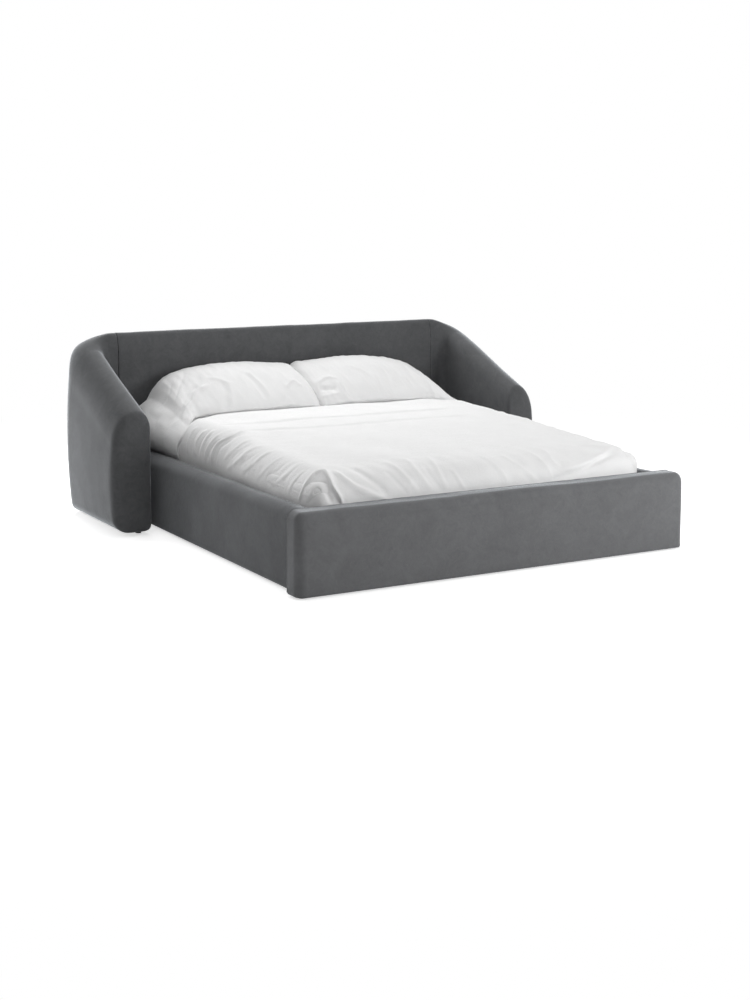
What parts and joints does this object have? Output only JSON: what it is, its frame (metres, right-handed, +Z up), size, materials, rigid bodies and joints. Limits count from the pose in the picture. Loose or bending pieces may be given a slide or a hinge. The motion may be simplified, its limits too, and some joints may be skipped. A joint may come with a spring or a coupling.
{
  "type": "sleigh bed",
  "caption": "Upholstered low sleigh bed with a wrap-round rolled headboard whose wings slope down, padded rails and footboard, slatted deck, mattress and made-up bedding.",
  "frame": {"origin": "middle of the overall length and width, on the floor", "axes": "+X to the right as seen from the foot end, +Y towards the headboard, +Z up"},
  "size_m": [2.643, 2.4652, 0.986],
  "materials": {
    "velvet": "matte",
    "timber": "satin",
    "plywood": "satin",
    "birch": "satin",
    "holder_plastic": "matte",
    "plated_steel": "satin",
    "black_steel": "satin",
    "foot_plastic": "matte",
    "mattress_ticking": "matte",
    "white_linen": "matte"
  },
  "bodies": {
    "bedstead": {"footboard_pad": "velvet", "footboard_welt": "velvet", "headboard_pad": "velvet", "rear_cover": "velvet", "left_rail_pad": "velvet", "right_rail_pad": "velvet", "left_wing_pad": "velvet", "right_wing_pad": "velvet", "footboard_board": "timber", "headboard_posts": "timber", "headboard_cross_rails": "timber", "left_rail_board": "timber", "right_rail_board": "timber", "left_ledger": "timber", "right_ledger": "timber", "left_wing_frame": "timber", "right_wing_frame": "timber", "headboard_panel": "plywood", "left_wing_sheets": "plywood", "right_wing_sheets": "plywood", "left_slats": "birch", "right_slats": "birch", "left_slat_holders": "holder_plastic", "right_slat_holders": "holder_plastic", "centre_holders": "holder_plastic", "leg_inserts": "holder_plastic", "glides": "holder_plastic", "rail_hook_plates": "plated_steel", "keeper_plates": "plated_steel", "centre_beam": "black_steel", "beam_saddles": "black_steel", "centre_legs": "black_steel"},
    "mattress": {"mattress": "mattress_ticking", "fitted_sheet": "white_linen"},
    "coverlet": {"coverlet": "white_linen"},
    "left_pillow": {"left_pillow": "white_linen"},
    "right_pillow": {"right_pillow": "white_linen"},
    "foot_levelling_foot": {"foot_levelling_foot": "foot_plastic"},
    "middle_levelling_foot": {"middle_levelling_foot": "foot_plastic"},
    "head_levelling_foot": {"head_levelling_foot": "foot_plastic"}
  },
  "joints": [
    {"name": "mattress_lift", "type": "slide", "parent": "bedstead", "child": "mattress", "axis": [0, 0, 1], "range_m": [0, 0.45]},
    {"name": "coverlet_lift", "type": "slide", "parent": "mattress", "child": "coverlet", "axis": [0, 0, 1], "range_m": [0, 0.3]},
    {"name": "left_pillow_lift", "type": "slide", "parent": "mattress", "child": "left_pillow", "axis": [0, 0, 1], "range_m": [0, 0.35]},
    {"name": "right_pillow_lift", "type": "slide", "parent": "mattress", "child": "right_pillow", "axis": [0, 0, 1], "range_m": [0, 0.35]},
    {"name": "foot_levelling_foot_travel", "type": "slide", "parent": "bedstead", "child": "foot_levelling_foot", "axis": [0, 0, 1], "range_m": [0, 0.01]},
    {"name": "middle_levelling_foot_travel", "type": "slide", "parent": "bedstead", "child": "middle_levelling_foot", "axis": [0, 0, 1], "range_m": [0, 0.01]},
    {"name": "head_levelling_foot_travel", "type": "slide", "parent": "bedstead", "child": "head_levelling_foot", "axis": [0, 0, 1], "range_m": [0, 0.01]}
  ]
}
